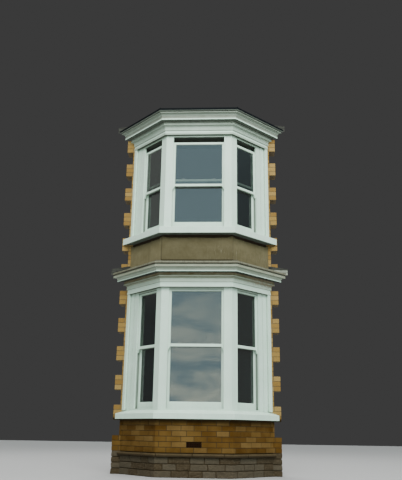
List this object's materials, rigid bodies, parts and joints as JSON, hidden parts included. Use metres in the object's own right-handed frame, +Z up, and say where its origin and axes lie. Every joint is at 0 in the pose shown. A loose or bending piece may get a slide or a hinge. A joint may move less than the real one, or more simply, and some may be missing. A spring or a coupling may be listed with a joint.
{
  "type": "bay window",
  "caption": "Tall canted bay window with sliding sashes, moulded cornices, a brick plinth and brick quoins, from ground level to its low hipped roof.",
  "frame": {"origin": "on the ground, at the middle of the bay where the house wall's outer face meets the ground", "axes": "+Z up, +Y into the house square to its wall, +X along the wall to the right as seen from outside"},
  "size_m": [3.1666, 1.09, 6.3751],
  "materials": {
    "bare_timber": "matte",
    "base_stone": "rough",
    "brass": "satin",
    "dark_roof": "matte",
    "floorboards": "satin",
    "lead": "matte",
    "plaster": "matte",
    "putty": "satin",
    "render": "rough",
    "terracotta": "rough",
    "white_paint": "satin",
    "window_glass": "gloss",
    "yellow_brick": "rough"
  },
  "bodies": {
    "root": {"air_brick": "terracotta", "apron_render": "render", "apron_wall": "bare_timber", "brick_plinth": "yellow_brick", "first_floor": "floorboards", "ground_floor": "floorboards", "left_quoin": "yellow_brick", "lower_ceiling": "plaster", "lower_corner_posts": "white_paint", "lower_cornice": "white_paint", "lower_flashing": "lead", "lower_frieze": "white_paint", "lower_front_frame": "white_paint", "lower_glass": "window_glass", "lower_inner_sashes": "white_paint", "lower_left_frame": "white_paint", "lower_lintel": "white_paint", "lower_outer_sashes": "white_paint", "lower_putty": "putty", "lower_right_frame": "white_paint", "lower_roof": "lead", "lower_sill": "white_paint", "lower_wall_posts": "white_paint", "lower_window_board": "white_paint", "quoin_teeth": "yellow_brick", "right_quoin": "yellow_brick", "sash_fasteners": "brass", "stone_base": "base_stone", "upper_ceiling": "plaster", "upper_corner_posts": "white_paint", "upper_cornice": "white_paint", "upper_flashing": "lead", "upper_frieze": "white_paint", "upper_front_frame": "white_paint", "upper_glass": "window_glass", "upper_inner_sashes": "white_paint", "upper_left_frame": "white_paint", "upper_lintel": "white_paint", "upper_outer_sashes": "white_paint", "upper_putty": "putty", "upper_right_frame": "white_paint", "upper_roof": "dark_roof", "upper_sill": "white_paint", "upper_wall_posts": "white_paint", "upper_window_board": "white_paint"}
  },
  "joints": []
}
